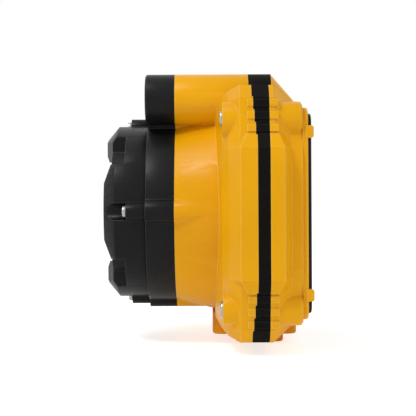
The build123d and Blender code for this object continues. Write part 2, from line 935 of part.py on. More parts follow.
def lens_tube():
    """The lens barrel, flanged to seat against the lip inside the front housing."""
    body = disc(0, lens_z, tube_r, tube_rear_y, tube_front_y)
    body += disc(0, lens_z, tube_flange_r, lip_front_y, tube_flange_front_y)
    nose = tube_front_y + tube_nose_thickness
    body -= disc(0, lens_z, tube_bore_r, tube_rear_y + overrun, nose)
    body += disc(0, lens_z, front_cell_r, nose + front_cell_depth, tube_front_y)
    body -= disc(0, lens_z, front_lens_r + fit_gap, nose + front_cell_depth / 2, tube_front_y - overrun)
    body -= disc(0, lens_z, rear_lens_r, nose + front_cell_depth + overrun, tube_front_y)
    return body


def lens_element(radius, crown, edge, front):
    """A lens with a domed front and a flat rear, its edge starting at the front plane."""
    rear = front + edge
    half = radius / 2
    middle = front - crown * (1 - half**2 / radius**2)
    dome = ThreePointArc((0, front - crown), (half, middle), (radius, front))
    rim = Polyline((radius, front), (radius, rear), (0, rear), (0, front - crown))
    profile = make_face(dome + rim)
    return Pos(0, 0, lens_z) * revolve(profile, axis=Axis.Y)


def front_element():
    seat = tube_front_y + tube_nose_thickness + front_cell_depth / 2
    return lens_element(front_lens_r, front_lens_crown, front_lens_edge, seat - front_lens_edge)


def rod_places():
    return [(-rod_circle_r, lens_z), (rod_circle_r, lens_z)]


def screw_place():
    return 0, lens_z - rod_circle_r


def focus_cell():
    """The moving lens cell, with an ear for each rod and one for the lead screw."""
    cell = disc(0, lens_z, focus_cell_r, focus_cell_rear_y, focus_cell_front_y)
    x, z = screw_place()
    for ear_x, ear_z in rod_places() + [(x, z)]:
        cell += disc(ear_x, ear_z, focus_ear_r, focus_cell_rear_y, focus_cell_front_y)
    cell -= disc(0, lens_z, rear_lens_r + fit_gap, focus_cell_rear_y - focus_travel, focus_cell_front_y)
    cell -= disc(0, lens_z, rear_lens_r - focus_travel / 2, focus_cell_rear_y, focus_cell_front_y)
    for ear_x, ear_z in rod_places():
        cell -= disc(ear_x, ear_z, rod_r + rod_hub_gap, focus_cell_rear_y, focus_cell_front_y)
    return cell - disc(x, z, lead_screw_r + rod_hub_gap, focus_cell_rear_y, focus_cell_front_y)


def rear_element():
    seat = focus_cell_rear_y - focus_travel
    return lens_element(rear_lens_r, rear_lens_crown, rear_lens_edge, seat - rear_lens_edge)


def guide_rods():
    nose = tube_front_y + tube_nose_thickness
    return joined(disc(x, z, rod_r, tube_rear_y, nose) for x, z in rod_places())


def focus_motor():
    """The focus motor on the sensor mount, bored for its lead screw."""
    x, z = screw_place()
    end = tube_rear_y - motor_length
    motor = disc(x, z, motor_r, tube_rear_y, end)
    return motor - disc(x, z, lead_screw_r + rod_hub_gap, tube_rear_y - motor_wall, end - overrun)


def lead_screw():
    """The screw that moves the focus cell, turning in the motor and in the nose."""
    x, z = screw_place()
    front = tube_front_y + tube_nose_thickness + rod_hub_gap
    return disc(x, z, lead_screw_r, tube_rear_y - motor_wall - rod_hub_gap, front)


def sensor_mount():
    rear = tube_rear_y + sensor_mount_thickness
    mount = disc(0, lens_z, tube_r, rear, tube_rear_y)
    window = Pos(0, lens_z) * Rectangle(sensor_window_width, sensor_window_height)
    return mount - prism(window, rear + overrun, tube_rear_y - overrun)


def sensor_board():
    """The sensor's board, with the sensor and its filter glass soldered on its front."""
    front = tube_rear_y + sensor_mount_thickness
    outline = Pos(0, lens_z) * RectangleRounded(sensor_board_width, sensor_board_height, board_corner)
    chip = Pos(0, lens_z) * Rectangle(sensor_width, sensor_height)
    board = prism(outline, front + sensor_board_thickness, front)
    return board + prism(chip, front, front - sensor_thickness - filter_thickness)


# Lamp

def lamp_window():
    rear = lamp_window_front_y + lamp_window_thickness
    radius = cap_bore_r - fit_gap
    glass = disc(pod_x, pod_z, radius, rear, lamp_window_front_y)
    return chamfer(glass.edges().group_by(Axis.Y)[0], lamp_window_dome / 2)


def lamp_reflector():
    """A bowl that widens from the lamp chip to the window's lip."""
    front = lamp_window_front_y + lamp_window_thickness + lamp_lip_depth
    rear = lamp_board_y - lamp_chip_height
    outer = cap_bore_r - fit_gap
    return turned([
        (outer, front), (outer - reflector_wall, front), (reflector_throat_r, rear),
        (reflector_throat_r + reflector_wall, rear), (outer, front + reflector_wall),
    ], pod_x, pod_z)


def lamp_board():
    """The lamp's board with its light chip soldered on."""
    rear = lamp_board_y + lamp_board_thickness
    outline = Pos(pod_x, pod_z) * Rectangle(lamp_chip_size, lamp_chip_size)
    chip = prism(outline, lamp_board_y, lamp_board_y - lamp_chip_height)
    return disc(pod_x, pod_z, cap_bore_r - fit_gap, rear, lamp_board_y) + chip


def heat_sink():
    """The lamp's heat sink behind its board, with a few fins."""
    front = lamp_board_y + lamp_board_thickness
    rear = front + heat_sink_thickness
    sink = disc(pod_x, pod_z, cap_bore_r - fit_gap, lamp_bore_end_y, front)
    slot = heat_sink_fin_pitch - heat_sink_fin_thickness
    first = pod_x - heat_sink_fin_pitch * (heat_sink_fin_count - 1) / 2 - heat_sink_fin_pitch / 2
    for i in range(heat_sink_fin_count + 1):
        middle = first + i * heat_sink_fin_pitch
        sink -= block(
            middle - slot / 2, middle + slot / 2, rear, lamp_bore_end_y + overrun,
            pod_z - pod_r, pod_z + pod_r,
        )
    return sink


# Rear plate, panel and display

def key_opening(rear, front):
    """All the openings that the keys and the rocker pass through."""
    openings = Part()
    for sketch in key_sketches(key_gap).values():
        openings += prism(sketch, rear, front)
    width = rocker_half_width + play_gap
    height = rocker_half_height + play_gap
    return openings + plate(
        width, height, rocker_half_height, rear, front, keys_x, body_mid_z + rocker_dz
    )


def rear_plate():
    """The yellow plate over the rear window, with four corner guards."""
    body = plate(plate_half_width, plate_half_height, plate_corner, plate_y, rear_y)
    body = chamfer(body.edges().group_by(Axis.Y)[-1], plate_bevel)
    for x, z in corners(panel_half_width + guard_lap + guard_width / 2, guard_dz):
        guard = block(
            x - guard_width / 2, x + guard_width / 2, plate_y - overrun, guard_y,
            z - guard_height / 2, z + guard_height / 2,
        )
        body += chamfer(guard.edges().group_by(Axis.Y)[-1], plate_bevel)
    display = Pos(display_x, body_mid_z) * Rectangle(display_width, display_height)
    body -= prism(display, plate_y + overrun, rear_y - overrun)
    body -= key_opening(plate_y + overrun, rear_y - overrun)
    for x, z in corners(plate_screw_x, plate_screw_dz):
        body -= disc(x, z, plate_screw_r + fit_gap, plate_y + overrun, rear_y - overrun)
        body -= disc(x, z, plate_screw_head_r + fit_gap, plate_y + overrun,
                     plate_y - plate_screw_head_height)
    body -= rocker_pin_slot()
    return body


def rocker_pin_slot():
    """The slot in the plate's rear face that holds the ends of the rocker's pin."""
    half = rocker_pin_length / 2 + fit_gap
    z = body_mid_z + rocker_dz
    reach = rocker_pin_r + fit_gap
    return block(keys_x - reach, keys_x + reach, rocker_pin_y - reach, plate_y + overrun, z - half, z + half)


def plate_screws():
    seat = plate_y - plate_screw_head_height
    screws = []
    for x, z in corners(plate_screw_x, plate_screw_dz):
        head = disc(x, z, plate_screw_head_r, plate_y, seat)
        screws.append(head + disc(x, z, plate_screw_r, seat, seat - plate_screw_length))
    return joined(screws)


def display_panel():
    """The black panel on the plate, open at the display and at the keys."""
    body = plate(panel_half_width, panel_half_height, panel_corner, panel_y, plate_y)
    body = chamfer(body.edges().group_by(Axis.Y)[-1], panel_bevel)
    window = Pos(display_x, body_mid_z) * Rectangle(display_width, display_height)
    body -= prism(window, panel_y + overrun, plate_y - overrun)
    margin = 2 * (display_glass_margin + fit_gap)
    rebate = Pos(display_x, body_mid_z) * Rectangle(display_width + margin, display_height + margin)
    floor = panel_y - display_glass_recess - display_glass_thickness
    body -= prism(rebate, panel_y + overrun, floor)
    return body - key_opening(panel_y + overrun, plate_y - overrun)


def display_glass():
    margin = 2 * display_glass_margin
    outline = Pos(display_x, body_mid_z) * Rectangle(display_width + margin, display_height + margin)
    front = panel_y - display_glass_recess - display_glass_thickness
    return prism(outline, panel_y - display_glass_recess, front)


def display_module():
    width = display_width + 2 * display_frame_x
    height = display_height + 2 * display_frame_z
    outline = Pos(display_x, body_mid_z) * Rectangle(width, height)
    return prism(outline, display_module_y, chassis_y + chassis_thickness)


# Chassis and boards

def chassis():
    """The metal plate that carries the display, the key board and, on pressed spacers, the main board."""
    rear = chassis_y + chassis_thickness
    body = plate(chassis_half_width, chassis_half_height, chassis_corner, rear, chassis_y)
    for x, z in corners(chassis_half_width, chassis_half_height):
        body -= block(
            x - chassis_notch, x + chassis_notch, chassis_y - overrun, rear + overrun,
            z - chassis_notch, z + chassis_notch,
        ) - block(
            -standoff_x - standoff_r, standoff_x + standoff_r, chassis_y - 2 * overrun,
            rear + 2 * overrun, body_mid_z - chassis_half_height, body_mid_z + chassis_half_height,
        )
    for x, z in corners(standoff_x, standoff_dz):
        body -= disc(x, z, chassis_screw_r + fit_gap, rear + overrun, chassis_y - overrun)
    middle = (board_left_x + board_right_x) / 2
    dx = (board_right_x - board_left_x) / 2 - spacer_inset
    for x, z in corners(dx, board_half_height - spacer_inset):
        body += disc(middle + x, z, spacer_r, chassis_y, board_y + board_thickness)
    return body


def chassis_screws():
    screws = []
    for x, z in corners(standoff_x, standoff_dz):
        head = disc(x, z, chassis_screw_head_r, chassis_y, chassis_y - chassis_screw_head_height)
        screws.append(head + disc(x, z, chassis_screw_r, chassis_y + chassis_screw_length, chassis_y))
    return joined(screws)


def board_part(x, z, width, height, depth):
    return prism(Pos(x, z) * Rectangle(width, height), board_y, board_y - depth)


def main_board():
    """The main board with its processor, memory, shield and connector soldered on."""
    middle = (board_left_x + board_right_x) / 2
    width = (board_right_x - board_left_x) / 2
    rear = board_y + board_thickness
    board = plate(width, board_half_height, chassis_corner, rear, board_y, middle)
    right = board_right_x - connector_width / 2 - spacer_inset
    left = board_left_x + chip_size
    upper = body_mid_z + board_half_height / 2
    lower = body_mid_z - board_half_height / 2
    board += board_part(left, upper, chip_size, chip_size, chip_height)
    board += board_part(left + 2 * chip_size, upper, chip_size, chip_size / 2, chip_height)
    board += board_part(left, lower, chip_size, chip_size / 2, chip_height)
    board += board_part(right, body_mid_z, shield_width / 2, shield_height, shield_depth)
    board += board_part(left + 2 * chip_size, lower, connector_width, connector_height, connector_depth)
    return board


# Rear keys

def key_sketches(gap=0.0):
    """The outline of each sliding key, grown by a gap."""
    centre_z = body_mid_z + centre_key_dz
    sketches = {"centre_key": Pos(keys_x, centre_z) * Circle(centre_key_r + gap)}
    ring = Circle(arrow_outer_r + gap) - Circle(arrow_inner_r - gap)
    reach = 2 * arrow_outer_r
    for i, name in enumerate(arrow_names):
        spread = reach * math.tan(math.radians(arrow_half_angle))
        slack = gap / math.cos(math.radians(arrow_half_angle))
        wedge = make_face(Polyline(
            (0, -slack), (reach, -spread - slack), (reach, spread + slack), (0, slack), close=True,
        ))
        turn = 90 * i
        sketches[name] = Pos(keys_x, centre_z) * Rot(0, 0, turn) * (ring & wedge)
    for name, side in (("menu_key", 1), ("play_key", -1)):
        place = Pos(keys_x + side * round_key_dx, body_mid_z + round_key_dz)
        sketches[name] = place * Circle(round_key_r + gap)
    return sketches


def key_floor_y():
    return rear_y - key_rest_gap - key_flange_thickness


def sliding_keys():
    """Every sliding key: a cap through the plate and a flange behind it."""
    keys = {}
    caps = key_sketches()
    flanges = key_sketches(key_flange)
    for name, sketch in caps.items():
        cap = prism(sketch, key_y, rear_y - key_rest_gap)
        cap = chamfer(cap.edges().group_by(Axis.Y)[-1], key_bevel)
        keys[name] = cap + prism(flanges[name], rear_y - key_rest_gap, key_floor_y())
    return keys


def zoom_rocker():
    """The zoom rocker, tilting about a pin held in the rear plate."""
    z = body_mid_z + rocker_dz
    front = rear_y + rocker_ear_gap
    rear = front + rocker_thickness
    body = plate(rocker_half_width, rocker_half_height, rocker_half_height - fit_gap, rear, front, keys_x, z)
    for side in (-1, 1):
        x = keys_x + side * rocker_half_width / 2
        body += disc(x, z, rocker_half_height / 2, rear + rocker_hump, rear)
    return body - rocker_bore(z)


def rocker_bore(z):
    half = rocker_half_height + overrun
    return Pos(keys_x, rocker_pin_y, z) * Cylinder(rocker_pin_r + rod_hub_gap, 2 * half)


def rocker_pin():
    return Pos(keys_x, rocker_pin_y, body_mid_z + rocker_dz) * Cylinder(rocker_pin_r, rocker_pin_length)


def key_board():
    front = chassis_y + chassis_thickness
    half_height = key_board_half_height
    rear = front + key_board_thickness
    return plate(key_board_half_width, half_height, board_corner, rear, front, keys_x)


def key_mat():
    """The rubber mat over the key board, with a dome under each key."""
    front = chassis_y + chassis_thickness + key_board_thickness
    rear = front + key_mat_thickness
    half_height = key_board_half_height
    mat = plate(key_board_half_width, half_height, board_corner, rear, front, keys_x)
    centre_z = body_mid_z + centre_key_dz
    middle = (arrow_inner_r + arrow_outer_r) / 2
    places = [(keys_x, centre_z)]
    for i in range(len(arrow_names)):
        angle = math.radians(90 * i)
        places.append((keys_x + middle * math.cos(angle), centre_z + middle * math.sin(angle)))
    for side in (-1, 1):
        places.append((keys_x + side * round_key_dx, body_mid_z + round_key_dz))
        places.append((keys_x + side * rocker_half_width / 2, body_mid_z + rocker_dz))
    for x, z in places:
        mat += disc(x, z, key_dome_r, rear + key_dome_height, rear)
    return mat


# Top buttons

def top_button(x, radius, top):
    """A round button: a dished cap on a stem, with the clip that keeps it in as a solid of its own."""
    cap = upright(x, top_button_y, radius, button_skirt_z, top)
    cap = chamfer(cap.edges().group_by(Axis.Z)[-1], button_bevel)
    cap -= upright(x, top_button_y, radius - 2 * button_bevel, top - button_dish, top + overrun)
    stem = upright(x, top_button_y, button_stem_r, button_stem_end_z, button_skirt_z)
    groove_top = button_clip_z + button_clip_thickness
    groove = upright(x, top_button_y, button_stem_r + overrun, button_clip_z, groove_top)
    groove -= upright(x, top_button_y, button_stem_r / 2, button_clip_z - overrun, groove_top + overrun)
    clip = upright(x, top_button_y, button_clip_r, button_clip_z, groove_top)
    core_r = button_stem_r / 2 + rod_hub_gap
    clip -= upright(x, top_button_y, core_r, button_clip_z - overrun, groove_top + overrun)
    return joined([cap + stem - groove, clip])


def button_spring(x, coil_r):
    """The coil spring between the collar's floor and the button's cap."""
    height = button_skirt_z - button_floor_z - 2 * spring_wire_r
    pitch = height / spring_turns
    path = Helix(pitch, height, coil_r)
    start = path @ 0
    section = Plane(origin=start, z_dir=path % 0) * Circle(spring_wire_r)
    coil = sweep(section, path=path)
    return Pos(x, top_button_y, button_floor_z + spring_wire_r) * coil


def button_seal(x):
    inner = button_stem_r + fit_gap
    outer = inner + button_seal_wall
    top = button_floor_z + button_seal_height
    ring = upright(x, top_button_y, outer, button_floor_z, top)
    return ring - upright(x, top_button_y, inner, button_floor_z - overrun, top + overrun)


def switch_board():
    """The small board under the top buttons, with a switch soldered on under each."""
    middle = (shutter_x + power_x) / 2
    front = cavity_front_y + fit_gap
    board = block(
        middle - switch_board_width / 2, middle + switch_board_width / 2,
        front, front + switch_board_depth, switch_board_z - switch_board_thickness, switch_board_z,
    )
    half = switch_size / 2
    top = switch_board_z + switch_height
    for x in (shutter_x, power_x):
        board += block(x - half, x + half, top_button_y - half, top_button_y + half, switch_board_z, top)
    return board


# Battery bay and door

def battery_space(gap=0.0):
    """The hollow of the bay, drawn in by a gap for the battery itself."""
    return block(
        bay_mouth_x + door_recess + gap, bay_end_x - bay_wall - gap,
        -bay_half_depth + bay_wall + gap, bay_half_depth - bay_wall - gap,
        door_bottom_z + bay_wall + gap, door_top_z - bay_wall - gap,
    )


def door_pin_place():
    return bay_mouth_x + door_thickness / 2, door_half_depth - door_thickness / 2 - door_hinge_gap


def battery_bay():
    """The sleeve for the battery, with a recess for the door and a pocket for the latch."""
    bay = bay_block()
    bay -= battery_space() + block(
        bay_mouth_x + door_recess - overrun, bay_mouth_x + door_recess + overrun,
        -bay_half_depth + bay_wall, bay_half_depth - bay_wall,
        door_bottom_z + bay_wall, door_top_z - bay_wall,
    )
    bay -= block(
        bay_mouth_x - overrun, bay_mouth_x + door_recess, -door_half_depth, door_half_depth,
        door_bottom_z - door_gap, door_top_z + door_gap,
    )
    x, y = door_pin_place()
    low = door_bottom_z - door_gap - door_pin_overlap
    high = door_top_z + door_gap + door_pin_overlap
    bay -= upright(x, y, door_pin_r + rod_hub_gap, low, high)
    base = bay_mouth_x + door_thickness - latch_back
    half = latch_width / 2 + door_gap
    bay -= block(
        base - latch_base_thickness - fit_gap, base + fit_gap, -half, half,
        door_top_z, door_top_z + latch_travel + play_gap,
    )
    return bay


def battery():
    body = battery_space(battery_clearance)
    return chamfer(body.edges().filter_by(Axis.X), bay_wall / 2)


def battery_contacts():
    """The spring contacts at the inner end of the bay."""
    contacts = []
    middle = (door_bottom_z + door_top_z) / 2
    for i in range(contact_count):
        z = middle + (i - (contact_count - 1) / 2) * contact_pitch
        contacts.append(block(
            bay_end_x, bay_end_x + contact_reach, -contact_width / 2, contact_width / 2,
            z - contact_width / 2, z + contact_width / 2,
        ))
    return joined(contacts)


def latch_slot():
    """The stepped slot in the door that the latch slides in, open at the top."""
    low = door_top_z - play_gap - latch_length - fit_gap
    base = bay_mouth_x + door_thickness - latch_back
    half = latch_width / 2 + fit_gap
    neck = latch_neck_width / 2 + fit_gap
    slot = block(
        base - latch_base_thickness - fit_gap, base + fit_gap, -half, half, low, door_top_z + overrun
    )
    return slot + block(bay_mouth_x - overrun, base, -neck, neck, low, door_top_z + overrun)


def battery_door():
    """The door, with a round hinge edge, grip ribs and the slot for its latch."""
    x, y = door_pin_place()
    outer = bay_mouth_x
    inner = bay_mouth_x + door_thickness
    door = block(outer, inner, -door_half_depth + door_gap, y, door_bottom_z, door_top_z)
    door += upright(x, y, door_thickness / 2, door_bottom_z, door_top_z)
    door -= upright(x, y, door_pin_r + rod_hub_gap, door_bottom_z - overrun, door_top_z + overrun)
    for i in range(door_rib_count):
        z = door_bottom_z + (i + 1) * door_rib_pitch
        door -= block(
            outer - overrun, outer + door_rib_depth, -door_half_depth + 2 * door_thickness,
            y - door_thickness, z, z + door_rib_pitch / 2,
        )
    return door - latch_slot()


def door_pin():
    x, y = door_pin_place()
    low = door_bottom_z - door_gap - door_pin_overlap
    high = door_top_z + door_gap + door_pin_overlap
    return upright(x, y, door_pin_r, low, high)


def door_seal():
    """The flat seal round the bay's mouth, behind the door."""
    rear = bay_mouth_x + door_recess
    front = rear - door_seal_thickness
    inner = battery_space()
    size = inner.bounding_box().size
    hole = block(
        front - overrun, rear + overrun, -size.Y / 2, size.Y / 2,
        door_bottom_z + bay_wall, door_top_z - bay_wall,
    )
    width = door_seal_width
    rim = block(
        front, rear, -size.Y / 2 - width / 2, size.Y / 2 + width / 2,
        door_bottom_z + bay_wall - width, door_top_z - bay_wall + width,
    )
    return rim - hole


def door_latch():
    """The sliding latch: a thin base with a ribbed grip on it."""
    high = door_top_z - play_gap
    low = high - latch_length
    base = bay_mouth_x + door_thickness - latch_back
    half = latch_width / 2
    neck = latch_neck_width / 2
    latch = block(base - latch_base_thickness, base, -half, half, low, high)
    latch += block(bay_mouth_x, base - latch_base_thickness, -neck, neck, low, high - latch_travel - play_gap)
    for i in range(latch_grip_count):
        z = low + (i + 1) * latch_grip_pitch
        latch -= block(
            bay_mouth_x - overrun, bay_mouth_x + latch_grip_depth, -neck, neck, z, z + latch_grip_pitch / 2,
        )
    return latch


# Strap bar

def strap_bar():
    """A bent steel bar that a wrist strap loops through."""
    low, high = strap_path_places()
    path = FilletPolyline(
        (strap_root_x, strap_y, low), (-strap_reach, strap_y, low),
        (-strap_reach, strap_y, high), (strap_root_x, strap_y, high), radius=strap_bend_r,
    )
    section = Plane(origin=path @ 0, z_dir=path % 0) * Circle(strap_wire_r)
    return sweep(section, path=path)


# Tripod base

def tripod_base(front, gasket, rear):
    """The flange and pad under the body, sunk in a seat and cut to the body's own underside."""
    middle_y = (base_front_y + base_rear_y) / 2
    depth = base_rear_y - base_front_y
    flange = Pos(0, middle_y, base_flange_z) * RectangleRounded(2 * base_half_width, depth, base_corner)
    base = extrude(flange, amount=base_top_z - base_flange_z)
    base = chamfer(base.edges().group_by(Axis.Z)[0], base_bevel)
    pad_middle = (pad_front_y + pad_rear_y) / 2
    pad = Pos(0, pad_middle, 0) * RectangleRounded(2 * pad_half_width, pad_rear_y - pad_front_y, pad_corner)
    foot = extrude(pad, amount=base_flange_z + base_bevel)
    base += chamfer(foot.edges().group_by(Axis.Z)[0], base_bevel)
    base -= front + gasket + rear
    base = base.solids().sort_by(Axis.Z)[0]
    base -= upright(0, 0, insert_r + fit_gap, 0, insert_height)
    base -= upright(0, 0, insert_flange_r + fit_gap, -overrun, insert_flange_height)
    for x, y in base_screw_places():
        base -= upright(x, y, base_screw_r + fit_gap, 0, base_screw_end_z)
        seat = base_flange_z + base_screw_head_height
        base -= upright(x, y, base_screw_head_r + fit_gap, 0, seat)
    return base


def base_screws():
    seat = base_flange_z + base_screw_head_height
    screws = []
    for x, y in base_screw_places():
        screw = upright(x, y, base_screw_head_r, base_flange_z, seat)
        screw += upright(x, y, base_screw_r, seat, base_screw_end_z)
        key = Pos(x, y, base_flange_z) * RegularPolygon(base_screw_key_r, 6)
        screws.append(screw - extrude(key, amount=base_screw_key_depth))
    return joined(screws)


def tripod_insert():
    """The threaded bush of the tripod socket, its bore open at the bottom."""
    bush = upright(0, 0, insert_r, 0, insert_height) + upright(0, 0, insert_flange_r, 0, insert_flange_height)
    return bush - upright(0, 0, socket_r, -overrun, socket_depth)


def build():
    """Every sub-part by its name."""
    envelope = body_envelope()
    cavity = body_cavity()
    zone = gasket_zone()
    nodes = {
        "front_housing": front_housing(envelope, cavity, zone),
        "rear_housing": rear_housing(envelope, cavity, zone),
        "body_gasket": body_gasket(envelope, cavity, zone),
        "housing_screws": housing_screws(),
        "lens_base_ring": lens_base_ring(),
        "lens_bezel": lens_bezel(),
        "bezel_screws": bezel_screws(),
        "base_seal": base_seal(),
        "port_seal": port_seal(),
        "port_glass": port_glass(),
        "port_baffle": port_baffle(),
        "lens_tube": lens_tube(),
        "front_element": front_element(),
        "focus_cell": focus_cell(),
        "rear_element": rear_element(),
        "guide_rods": guide_rods(),
        "focus_motor": focus_motor(),
        "lead_screw": lead_screw(),
        "sensor_mount": sensor_mount(),
        "sensor_board": sensor_board(),
        "lamp_window": lamp_window(),
        "lamp_reflector": lamp_reflector(),
        "lamp_board": lamp_board(),
        "heat_sink": heat_sink(),
        "rear_plate": rear_plate(),
        "plate_screws": plate_screws(),
        "display_panel": display_panel(),
        "display_glass": display_glass(),
        "display_module": display_module(),
        "chassis": chassis(),
        "chassis_screws": chassis_screws(),
        "main_board": main_board(),
        "key_board": key_board(),
        "key_mat": key_mat(),
        "zoom_rocker": zoom_rocker(),
        "rocker_pin": rocker_pin(),
        "shutter_button": top_button(shutter_x, shutter_r, shutter_top_z),
        "shutter_spring": button_spring(shutter_x, spring_coil_r),
        "power_button": top_button(power_x, power_r, power_top_z),
        "power_spring": button_spring(power_x, power_spring_coil_r),
        "button_seals": joined([button_seal(shutter_x), button_seal(power_x)]),
        "switch_board": switch_board(),
        "battery_bay": battery_bay(),
        "battery": battery(),
        "battery_contacts": battery_contacts(),
        "battery_door": battery_door(),
        "door_pin": door_pin(),
        "door_seal": door_seal(),
        "door_latch": door_latch(),
        "strap_bar": strap_bar(),
        "base_screws": base_screws(),
    }
    nodes.update(sliding_keys())
    nodes["tripod_base"] = tripod_base(
        nodes["front_housing"], nodes["body_gasket"], nodes["rear_housing"]
    )
    nodes["tripod_insert"] = tripod_insert()
    return nodes


os.makedirs("parts", exist_ok=True)
for name, solid in build().items():
    export_step(solid, "parts/" + name + ".step")
    print(name, len(solid.solids()), round(solid.volume, 1))
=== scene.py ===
import json
import math

import bpy
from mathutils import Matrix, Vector


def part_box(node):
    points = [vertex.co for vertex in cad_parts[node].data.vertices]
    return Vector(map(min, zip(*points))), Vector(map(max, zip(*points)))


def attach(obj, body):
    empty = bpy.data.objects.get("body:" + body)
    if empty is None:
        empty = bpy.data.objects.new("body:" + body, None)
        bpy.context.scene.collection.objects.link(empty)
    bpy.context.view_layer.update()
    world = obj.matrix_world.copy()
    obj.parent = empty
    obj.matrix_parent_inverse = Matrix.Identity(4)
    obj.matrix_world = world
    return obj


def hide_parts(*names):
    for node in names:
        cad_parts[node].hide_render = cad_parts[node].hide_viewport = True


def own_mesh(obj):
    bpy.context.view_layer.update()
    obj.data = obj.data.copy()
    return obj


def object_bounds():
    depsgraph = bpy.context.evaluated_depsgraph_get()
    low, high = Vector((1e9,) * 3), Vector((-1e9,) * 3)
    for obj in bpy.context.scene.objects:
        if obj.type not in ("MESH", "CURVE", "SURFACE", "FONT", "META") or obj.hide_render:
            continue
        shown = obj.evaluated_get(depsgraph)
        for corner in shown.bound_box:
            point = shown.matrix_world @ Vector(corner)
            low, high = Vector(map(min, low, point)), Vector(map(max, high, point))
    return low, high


# Finish, light and small trim of a rugged compact camera, in metres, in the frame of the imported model.

# Camera and photograph
image_pixels = 416
camera_distance = 0.420
camera_y = -0.0192
camera_z = 0.0523
camera_roll = 0.3
camera_clip = 0.0042
pixels_per_metre = 2500
sensor_width = 36.0

# Lamps, all turned to one point
lamp_aim = (0.0, -0.02, 0.05)
lamps = {
    "key": {"place": (0.24, -0.34, 0.62), "size": 0.30, "power": 1.35},
    "front": {"place": (0.45, -0.45, 0.05), "size": 0.40, "power": 0.15},
    "back": {"place": (0.40, 0.52, 0.35), "size": 0.50, "power": 0.85},
    "spark": {"place": (0.40, -0.34, 0.66), "size": 0.09, "power": 1.35},
}

# World and floor
white = (1, 1, 1, 1)
ambient = 0.47
floor_size = 60.0
floor_color = (0.80, 0.80, 0.80, 1)
floor_glow = 0.66
floor_bounce = 0.30

# Edge rounding of the model's meshes
weld_distance = 2e-6
flat_angle = 0.4
edge_width = 0.0002
edge_angle = 24
edge_segments = 2

# Printed marks
print_depth = 0.00003
play_mark = [(-0.0014, 0), (0.0010, 0.0013), (0.0010, -0.0013)]
chevron_mark = [
    (0.0008, 0), (-0.0004, 0.0012), (-0.00075, 0.00085),
    (0.0001, 0), (-0.00075, -0.00085), (-0.0004, -0.0012),
]
chevron_angles = {"right_key": 0, "up_key": 90, "left_key": 180, "down_key": 270}
menu_bar_count = 3
menu_bar_pitch = 0.0009
menu_bar_half = (0.0013, 0.0002)
zoom_mark_place = 0.005
zoom_mark_half = (0.0011, 0.00022)
ring_mark_inner_r = 0.0015
ring_mark_outer_r = 0.0019
circle_steps = 32
border_margin = 0.0001
border_width = 0.0055

# Thread of the tripod socket
thread_pitch = 0.00127
thread_root_r = 0.00322
thread_crest_r = 0.00262
thread_root_half = 0.00055
thread_crest_half = 0.00008
thread_margin = 0.0007
thread_steps = 40

# Phosphor of the lamp
phosphor_r = 0.0013
phosphor_height = 0.0006
phosphor_rings = 6

# Springs of the two buttons, each with the joint that presses it
spring_joints = {"shutter_spring": "shutter_press", "power_spring": "power_press"}
spring_wire_r = 0.0002
spring_turns = 3
spring_steps = 28
wire_sides = 8

# Colours, as linear values
yellow = (0.80, 0.382, 0.002)
yellow_deep = (0.75, 0.350, 0.001)
# The base's yellows are darker than the shells' as painted shade, for the base that sits recessed under the
# body
shaded_base_yellow = (0.74, 0.262, 0.002)
shaded_base_yellow_deep = (0.67, 0.228, 0.002)
black = (0.0062, 0.0063, 0.0072)
black_pale = (0.0088, 0.0090, 0.0100)
trim_black = (0.0075, 0.0075, 0.0082)
trim_black_pale = (0.0105, 0.0105, 0.0112)
inner_black = (0.006, 0.006, 0.0065)
inner_black_pale = (0.010, 0.010, 0.010)
rubber_black = (0.0034, 0.0028, 0.0024)
rubber_black_pale = (0.0052, 0.0045, 0.0040)
key_grey = (0.030, 0.030, 0.032)
key_grey_pale = (0.042, 0.042, 0.044)
button_red = (0.50, 0.035, 0.012)
button_red_deep = (0.42, 0.028, 0.010)
button_grey = (0.16, 0.16, 0.17)
button_grey_deep = (0.13, 0.13, 0.14)
steel = (0.52, 0.51, 0.495)
steel_dark = (0.38, 0.372, 0.362)
brass = (0.72, 0.48, 0.20)
brass_dark = (0.55, 0.35, 0.13)
aluminium = (0.72, 0.72, 0.74)
aluminium_dark = (0.58, 0.58, 0.60)
mirror = (0.90, 0.90, 0.90)
mirror_dark = (0.80, 0.80, 0.80)
mask_green = (0.012, 0.10, 0.035)
trace_green = (0.030, 0.20, 0.075)
battery_blue = (0.05, 0.07, 0.13)
battery_blue_deep = (0.035, 0.05, 0.10)
print_white = (0.62, 0.62, 0.60)
print_white_dull = (0.52, 0.52, 0.50)
cell_dark = (0.0085, 0.0095, 0.0125)
cell_light = (0.0095, 0.0108, 0.0142)
phosphor = (0.80, 0.62, 0.08)
phosphor_deep = (0.62, 0.44, 0.04)
# Paler colours of the edges, partly wear and partly a painted highlight along the edges
yellow_worn_highlight = (0.94, 0.58, 0.10)
shaded_base_worn_highlight = (0.88, 0.42, 0.05)
black_worn_highlight = (0.070, 0.071, 0.076)
rubber_worn_highlight = (0.022, 0.021, 0.020)
window_tint = (0.97, 0.99, 0.98)
lens_tint = (0.93, 0.93, 0.99)

# Grain sizes
plastic_grain = 0.00035
texture_grain = 0.00050
rubber_grain = 0.00030
metal_grain = 0.00025
cloud_size = 0.030
cell_cloud_size = 0.015
wipe_size = 0.0075
trace_pitch = 0.0011

# Character of the noise, and the part of its range that the finishes use
noise_roughness = 0.55
cloud_detail = 2.0
grain_detail = 3.0
wipe_detail = 5.0
noise_low = 0.35
noise_high = 0.65

# Depths of the relief
faint_relief = 0.000003
fine_relief = 0.000006
paint_relief = 0.000008
soft_relief = 0.00001
base_relief = 0.000012
medium_relief = 0.00002
coarse_relief = 0.00003

# Radii that soften the shading of edges, and the cosines of that turn where the paler edges, partly wear and
# partly painted highlight, start and are full
body_edge = 0.0004
button_edge = 0.0003
metal_edge = 0.0002
bevel_samples = 6
wear_highlight_start = 0.995
wear_highlight_full = 0.90

# Specular levels
plain = 0.5
satin = 0.14
matt = 0.13
dull = 0.06
flat = 0.03

